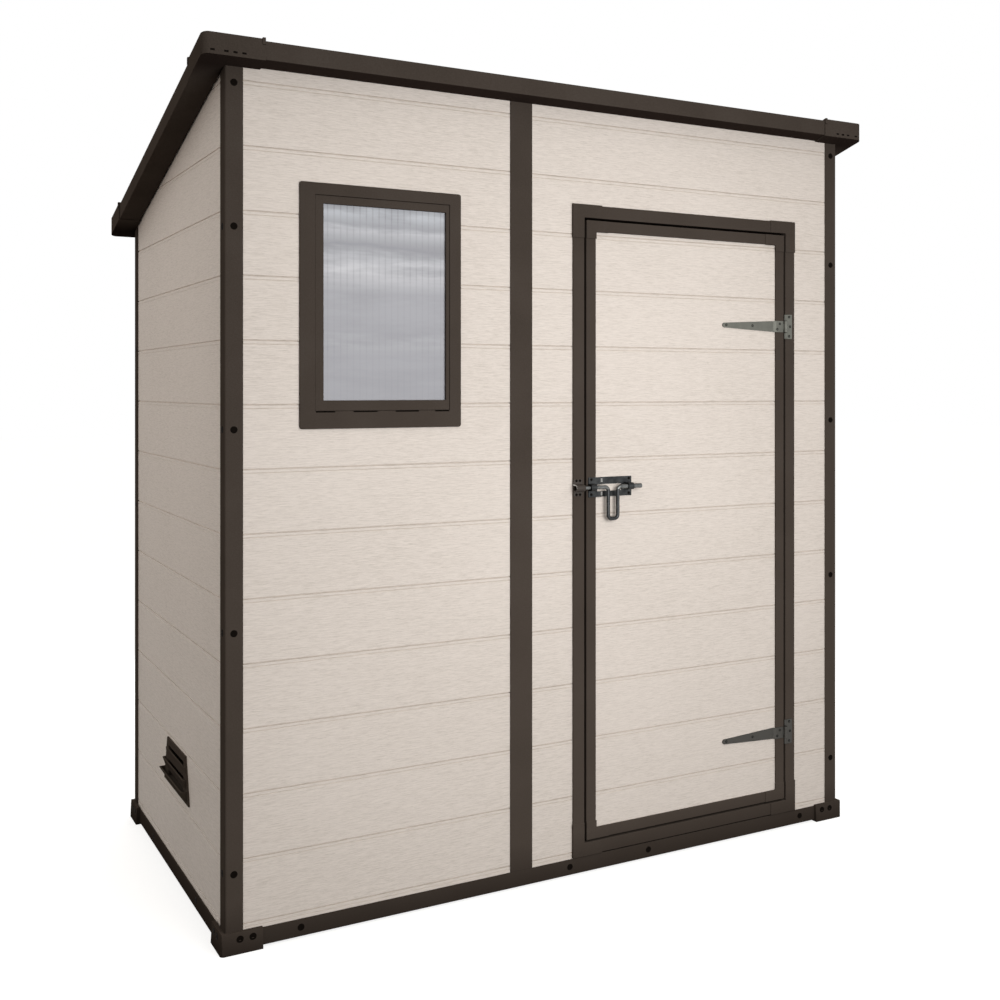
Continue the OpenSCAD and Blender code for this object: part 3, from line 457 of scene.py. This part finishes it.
def head(radius, rise, well):
    """A round head that faces -Y with its seat at the origin: domed rim, dished middle, driver well."""
    bpy.ops.object.select_all(action="DESELECT")
    bpy.ops.mesh.primitive_cylinder_add(vertices=HEAD_SIDES, radius=radius, depth=rise,
                                        location=(0, 0, rise / 2))
    pick(lambda middle, normal: normal.z > FACING)
    bpy.ops.mesh.inset(thickness=radius * RIM_IN, depth=rise * RIM_UP)
    bpy.ops.mesh.inset(thickness=radius * DISH_IN, depth=-rise * DISH_DOWN)
    bpy.ops.mesh.inset(thickness=radius * WELL_IN)
    bpy.ops.mesh.extrude_region_move(TRANSFORM_OT_translate={"value": (0, 0, -well)})
    obj = bpy.context.object
    obj.rotation_euler = (math.pi / 2, 0, 0)
    settle(obj)
    return obj


def gather(shapes, name, body, material):
    """Joins placed shapes as one finished piece that rides a body."""
    bpy.ops.object.select_all(action="DESELECT")
    for shape in shapes:
        shape.select_set(True)
    bpy.context.view_layer.objects.active = shapes[0]
    bpy.ops.object.transform_apply(location=True, rotation=True, scale=True)
    bpy.ops.object.join()
    piece = bpy.context.object
    piece.name = name
    piece.data.materials.clear()
    piece.data.materials.append(material)
    bpy.ops.object.shade_smooth_by_angle(angle=SMOOTH_ANGLE)
    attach(piece, body)


def set_out(model, name, spots, body, material):
    """Copies a model to each (place, turn) and joins the copies as one piece."""
    copies = []
    for place, turn in spots:
        copy = model.copy()
        copy.data = model.data.copy()
        bpy.context.scene.collection.objects.link(copy)
        copy.location = place
        copy.rotation_euler = (0, 0, turn)
        copies.append(copy)
    gather(copies, name, body, material)


def pad(low, high, radius, dish):
    """A block between two corners with eased edges, its front and back dished."""
    bpy.ops.object.select_all(action="DESELECT")
    bpy.ops.mesh.primitive_cube_add(size=1, location=(low + high) / 2, scale=high - low)
    block = bpy.context.object
    settle(block)
    bpy.ops.object.mode_set(mode="EDIT")
    bpy.ops.mesh.select_all(action="SELECT")
    bpy.ops.mesh.bevel(offset=radius, segments=ROUND_STEPS, affect="EDGES")
    pick(lambda middle, normal: abs(normal.y) > SQUARE_ON)
    bpy.ops.mesh.inset(thickness=2 * dish, depth=-dish)
    bpy.ops.object.mode_set(mode="OBJECT")
    return block


# Screw caps on the corner posts, in the middle of each outer face

# Radius, rise and well of a cap's head
CAP_HEAD = (7.8 * MM, 0.8 * MM, 0.4 * MM)
# How far a post runs up past the soffit
POST_IN_ROOF = 26 * MM
# Heights of the caps: the lowest above the ground, the others below the soffit, and one more below it on
# the front and rear faces
POST_LOW = 171 * MM
POST_DROPS = [350 * MM, 794 * MM, 1238 * MM]
POST_TOP_DROP = 37 * MM


def post_caps(model):
    spots = []
    for row, face in (("front", FRONT), ("rear", REAR)):
        for hand, side in (("left", LEFT), ("right", RIGHT)):
            low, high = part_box("corner_post_%s_%s" % (row, hand))
            soffit = high.z - POST_IN_ROOF
            middle = (low + high) / 2
            outer_x = low.x if hand == "left" else high.x
            outer_y = low.y if row == "front" else high.y
            heights = [POST_LOW] + [soffit - drop for drop in POST_DROPS]
            for z in heights:
                spots.append(((outer_x, middle.y, z), side))
            for z in heights + [soffit - POST_TOP_DROP]:
                spots.append(((middle.x, outer_y, z), face))
    set_out(model, "post_screw_caps", spots, "shed", NYLON)


# The same caps along the base rails and in the corner feet

# Across on the front rail, turned round on the rear one, then along on the side rails, and their height
RAIL_X = [-695 * MM, -9 * MM, 225 * MM, 730 * MM]
RAIL_Y = [-250 * MM, 250 * MM]
RAIL_Z = 24 * MM
# In from the corners of the feet, their height, and how far in the leaning faces of the feet are there
FOOT_STEPS = [42 * MM, 70 * MM]
FOOT_Z = 31 * MM
FOOT_DRAFT = 2.0 * MM


def base_caps(model):
    rail_low, rail_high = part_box("base_rails")
    foot_low, foot_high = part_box("corner_feet")
    spots = [((x, rail_low.y, RAIL_Z), FRONT) for x in RAIL_X]
    spots += [((-x, rail_high.y, RAIL_Z), REAR) for x in RAIL_X]
    spots += [((rail_low.x, y, RAIL_Z), LEFT) for y in RAIL_Y]
    spots += [((rail_high.x, y, RAIL_Z), RIGHT) for y in RAIL_Y]
    for step in FOOT_STEPS:
        for x in (foot_low.x + step, foot_high.x - step):
            spots.append(((x, foot_low.y + FOOT_DRAFT, FOOT_Z), FRONT))
            spots.append(((x, foot_high.y - FOOT_DRAFT, FOOT_Z), REAR))
        for y in (foot_low.y + step, foot_high.y - step):
            spots.append(((foot_low.x + FOOT_DRAFT, y, FOOT_Z), LEFT))
            spots.append(((foot_high.x - FOOT_DRAFT, y, FOOT_Z), RIGHT))
    set_out(model, "base_screws", spots, "shed", NYLON)


cap_model = head(*CAP_HEAD)
post_caps(cap_model)
base_caps(cap_model)
bpy.data.objects.remove(cap_model)


# Screws in the hinges: each strap's middle is half its height from the end of the straps' box

HINGE_HEAD = (3.6 * MM, 1.0 * MM, 0.7 * MM)
STEEL_T = 3 * MM
STRAP_HALF = 15.5 * MM
# In from the plate's outer edge, or from the strap's root, and up from the strap's middle
PLATE_SCREWS = [(10 * MM, -27 * MM), (7 * MM, 0.0), (10 * MM, 27 * MM)]
ROOT_SCREWS = [(24 * MM, 7 * MM), (33 * MM, -8 * MM)]
# In from the strap's tip
TIP_SCREWS = [12 * MM, 101 * MM]

strap_low, strap_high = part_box("hinge_straps")
plate_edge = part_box("hinge_plates")[1].x
stile_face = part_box("door_stile_latch_side")[0].y
panel_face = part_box("door_panel")[0].y
hinge_heights = [strap_low.z + STRAP_HALF, strap_high.z - STRAP_HALF]


def hinge_screws(model):
    on_stile, on_panel = stile_face - STEEL_T, panel_face - STEEL_T
    on_plates, on_straps = [], []
    for z in hinge_heights:
        on_plates += [((plate_edge - inward, on_stile, z + up), FRONT) for inward, up in PLATE_SCREWS]
        on_straps += [((strap_low.x + inward, on_panel, z), FRONT) for inward in TIP_SCREWS]
        on_straps += [((strap_high.x - inward, on_stile, z + up), FRONT) for inward, up in ROOT_SCREWS]
    set_out(model, "hinge_plate_screws", on_plates, "shed", BLACK_OXIDE)
    set_out(model, "hinge_strap_screws", on_straps, "door", BLACK_OXIDE)


screw_model = head(*HINGE_HEAD)
hinge_screws(screw_model)
bpy.data.objects.remove(screw_model)


# Capped screws in the bolt's plate and in the keeper: in from the ends, and up and down from the middle

LATCH_HEAD = (3.4 * MM, 1.0 * MM, 0.6 * MM)
KEEPER_T = 2.5 * MM
LATCH_IN, LATCH_UP = 8 * MM, 19 * MM
KEEPER_IN, KEEPER_UP = [8 * MM, 18 * MM], 17.5 * MM


def latch_screws(model):
    low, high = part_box("latch_plate")
    keeper_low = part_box("latch_keeper")[0]
    middle = (low.z + high.z) / 2
    ups = (-LATCH_UP, LATCH_UP)
    spots = [((low.x + LATCH_IN, stile_face - STEEL_T, middle + up), FRONT) for up in ups]
    spots += [((high.x - LATCH_IN, panel_face - STEEL_T, middle + up), FRONT) for up in ups]
    set_out(model, "latch_plate_screws", spots, "door", NYLON)
    spots = [((keeper_low.x + inward, stile_face - KEEPER_T, middle + up), FRONT)
             for inward in KEEPER_IN for up in (-KEEPER_UP, KEEPER_UP)]
    set_out(model, "keeper_screws", spots, "shed", NYLON)


screw_model = head(*LATCH_HEAD)
latch_screws(screw_model)
bpy.data.objects.remove(screw_model)


# Wings of the hinge plates, over and under the knuckles

PLATE_W = 18 * MM
WING_W = 8 * MM
WING_H = 16.5 * MM
WING_T = 2.8 * MM
WING_LAP = 1 * MM
# From the middle of a hinge to the middle of a wing
WING_UP = 25.25 * MM
# Radius of a wing's edges and depth of its dish
WING_EASE = (0.4 * MM, 0.1 * MM)


def hinge_wings():
    edge = plate_edge - PLATE_W
    model = pad(Vector((-WING_W, -WING_T, -WING_H / 2)), Vector((WING_LAP, 0, WING_H / 2)), *WING_EASE)
    spots = [((edge, stile_face, z + up), FRONT) for z in hinge_heights for up in (WING_UP, -WING_UP)]
    set_out(model, "hinge_plate_wings", spots, "shed", ZINC)
    bpy.data.objects.remove(model)


hinge_wings()


# Flaps in the drain slots under the sash, each slot placed by its share of the width of the light

DRAINS = [(0.006, 0.141), (0.274, 0.449), (0.585, 0.76), (0.886, 0.994)]
DRAIN_H = 3 * MM
FLAP_Y = (0.4 * MM, 5 * MM)
FLAP_EASE = (0.3 * MM, 0.1 * MM)
SASH_PLAY = 0.5 * MM


def drain_flaps():
    sash_low, sash_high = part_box("window_sash")
    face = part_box("window_frame")[0].y
    left = sash_low.x - SASH_PLAY
    width = sash_high.x + SASH_PLAY - left
    top = sash_low.z - SASH_PLAY
    flaps = []
    for start, end in DRAINS:
        flaps.append(pad(Vector((left + start * width, face + FLAP_Y[0], top - DRAIN_H)),
                         Vector((left + end * width, face + FLAP_Y[1], top)), *FLAP_EASE))
    gather(flaps, "window_drain_flaps", "shed", NYLON)


drain_flaps()


# Plugs in the fixing slots of the roof caps

CAP_WALL, CAP_RIDGE = 3 * MM, 2 * MM
PLUG_STEPS = [22 * MM, 51 * MM, 70 * MM, 89 * MM]
PLUG_W, PLUG_H, PLUG_SINK = 9 * MM, 4 * MM, 0.1 * MM
PLUG_EASE = (0.4 * MM, 0.1 * MM)
# The slots' lower edges: below the highest point of the caps at the front, above the lowest at the rear
PLUG_DROP, PLUG_RISE = 42.5 * MM, 7 * MM


def cap_plugs():
    low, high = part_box("roof_corner_caps")
    model = pad(Vector((-PLUG_W / 2, PLUG_SINK, 0)), Vector((PLUG_W / 2, CAP_WALL, PLUG_H)), *PLUG_EASE)
    spots = []
    for step in PLUG_STEPS:
        for x in (low.x + CAP_RIDGE + step, high.x - CAP_RIDGE - step):
            spots.append(((x, low.y + CAP_RIDGE, high.z - PLUG_DROP), FRONT))
            spots.append(((x, high.y - CAP_RIDGE, low.z + PLUG_RISE), REAR))
    set_out(model, "roof_cap_plugs", spots, "shed", NYLON)
    bpy.data.objects.remove(model)


cap_plugs()


# The glazing: a twin-wall sheet with open flutes, in place of the plain solid

SHEET_SKIN = 0.8 * MM
SHEET_CELLS = 20
CELL_MERGE = 0.05 * MM


def twin_wall_sheet():
    low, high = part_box("window_pane")
    half = Vector((SHEET_SKIN, SHEET_SKIN, 0)) / 2
    low, high = low + half, high - half
    size = high - low
    middle = (low + high) / 2
    cell = size.x / SHEET_CELLS
    bpy.ops.object.select_all(action="DESELECT")
    bpy.ops.mesh.primitive_cube_add(size=1, location=(low.x + cell / 2, middle.y, middle.z),
                                    scale=(cell, size.y, size.z))
    sheet = bpy.context.object
    settle(sheet)
    pick(lambda middle, normal: abs(normal.z) > FACING)
    bpy.ops.mesh.delete(type="ONLY_FACE")
    bpy.ops.object.mode_set(mode="OBJECT")
    row = sheet.modifiers.new("flutes", "ARRAY")
    row.count = SHEET_CELLS
    row.use_relative_offset = False
    row.use_constant_offset = True
    row.constant_offset_displace = (cell, 0, 0)
    bpy.ops.object.modifier_apply(modifier=row.name)
    bpy.ops.object.mode_set(mode="EDIT")
    bpy.ops.mesh.select_all(action="SELECT")
    bpy.ops.mesh.remove_doubles(threshold=CELL_MERGE)
    bpy.ops.object.mode_set(mode="OBJECT")
    wall = sheet.modifiers.new("skin", "SOLIDIFY")
    wall.solidify_mode = "NON_MANIFOLD"
    wall.thickness = SHEET_SKIN
    wall.offset = 0
    bpy.ops.object.modifier_apply(modifier=wall.name)
    sheet.name = "glazing_sheet"
    sheet.data.materials.clear()
    sheet.data.materials.append(milky_sheet(low, high, cell))
    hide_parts("window_pane")
    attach(sheet, "shed")


twin_wall_sheet()


# Floor, light and camera

FLOOR_SIZE = 60
FLOOR_SEEN, FLOOR_UNSEEN, FLOOR_GLOW = "#b4b4b2", "#393735", 0.74
SKY_TINT, SKY_LOW, SKY_HIGH = "#fffbf6", 0.13, 0.88
WHITE = "#ffffff"


def shown(tree):
    """1 for what the camera sees, also in gloss and through glass, and 0 for what only lights the shed."""
    path = add(tree, "ShaderNodeLightPath", {}, {})
    mirror = add(tree, "ShaderNodeMath", {"operation": "MAXIMUM"},
                 {0: path.outputs["Is Glossy Ray"], 1: path.outputs["Is Transmission Ray"]})
    either = add(tree, "ShaderNodeMath", {"operation": "MAXIMUM"},
                 {0: path.outputs["Is Camera Ray"], 1: mirror.outputs[0]})
    return either.outputs[0]


def studio_floor():
    """A matt floor: to the camera and in reflections it is white where nothing shades it, and keeps the
    shadow; it throws little light back up."""
    material = bpy.data.materials.new("studio_floor")
    material.use_nodes = True
    tree = material.node_tree
    tree.nodes.clear()
    pale = add(tree, "ShaderNodeBsdfDiffuse", {}, {"Color": linear(FLOOR_SEEN)})
    lift = add(tree, "ShaderNodeEmission", {}, {"Color": linear(WHITE), "Strength": FLOOR_GLOW})
    both = add(tree, "ShaderNodeAddShader", {}, {0: pale.outputs[0], 1: lift.outputs[0]})
    dull = add(tree, "ShaderNodeBsdfDiffuse", {}, {"Color": linear(FLOOR_UNSEEN)})
    pair = add(tree, "ShaderNodeMixShader", {}, {0: shown(tree), 1: dull.outputs[0], 2: both.outputs[0]})
    add(tree, "ShaderNodeOutputMaterial", {}, {"Surface": pair.outputs[0]})
    return material


def studio_sky():
    """Soft light from overhead that fades towards the ground; camera and reflections see plain white."""
    world = bpy.data.worlds.new("studio")
    bpy.context.scene.world = world
    world.use_nodes = True
    tree = world.node_tree
    tree.nodes.clear()
    seen = shown(tree)
    toward = add(tree, "ShaderNodeTexCoord", {}, {}).outputs["Generated"]
    height = add(tree, "ShaderNodeSeparateXYZ", {}, {"Vector": toward}).outputs["Z"]
    ceiling = add(tree, "ShaderNodeMapRange", {}, {"Value": height, "To Min": SKY_LOW, "To Max": SKY_HIGH})
    level = add(tree, "ShaderNodeMix", {"data_type": "FLOAT"},
                {"Factor": seen, "A": ceiling.outputs[0], "B": 1.0})
    cast = add(tree, "ShaderNodeMix", {"data_type": "RGBA"},
               {FACTOR: seen, COLOUR_A: linear(SKY_TINT), COLOUR_B: linear(WHITE)})
    glow = add(tree, "ShaderNodeBackground", {},
               {"Color": cast.outputs[COLOUR_OUT], "Strength": level.outputs[0]})
    add(tree, "ShaderNodeOutputWorld", {}, {"Surface": glow.outputs[0]})


# Square lamps: place, aim, watts and tint
LAMP_SIZE = 1.5
LAMPS = {
    "key_front": ((0.1, -2.65, 1.27), (0.1, -0.52, 1.27), 42, WHITE),
    "fill_left": ((-2.5, 0.1, 1.6), (-0.86, 0.1, 1.6), 8.5, "#fff6ee"),
    "fill_rear": ((0.0, 2.9, 1.3), (0.0, 0.52, 1.3), 34, WHITE),
    "fill_right": ((2.9, 0.1, 1.5), (0.86, 0.1, 1.5), 22, WHITE),
}


def soft_light(name, place, aim, watts, tint):
    lamp = bpy.data.lights.new(name, "AREA")
    lamp.color = linear(tint)[:3]
    lamp.size = LAMP_SIZE
    lamp.energy = watts
    holder = bpy.data.objects.new(name, lamp)
    holder.location = place
    holder.rotation_euler = (Vector(aim) - Vector(place)).to_track_quat("-Z", "Y").to_euler()
    holder.visible_camera = False
    bpy.context.scene.collection.objects.link(holder)


# The photograph's camera, level, with its frame shifted onto the shed
LENS, SENSOR = 45.45, 36
SHIFT_X, SHIFT_Y = -0.1236, -0.1115
CAMERA_PLACE = (-1.5409, -3.3152, 1.2303)
CAMERA_TURN = (math.radians(90), 0, math.radians(-31.186))


def photo_camera():
    lens = bpy.data.cameras.new("photo_camera")
    lens.sensor_width = SENSOR
    lens.lens = LENS
    lens.shift_x = SHIFT_X
    lens.shift_y = SHIFT_Y
    camera = bpy.data.objects.new("photo_camera", lens)
    camera.location = CAMERA_PLACE
    camera.rotation_euler = CAMERA_TURN
    bpy.context.scene.collection.objects.link(camera)
    bpy.context.scene.camera = camera


bpy.ops.object.select_all(action="DESELECT")
bpy.ops.mesh.primitive_plane_add(size=FLOOR_SIZE, location=(0, 0, 0))
ground = bpy.context.object
ground.name = "studio_floor"
ground.data.materials.append(studio_floor())
studio_sky()
for name, settings in LAMPS.items():
    soft_light(name, *settings)
photo_camera()
bpy.context.scene.view_settings.view_transform = "Standard"
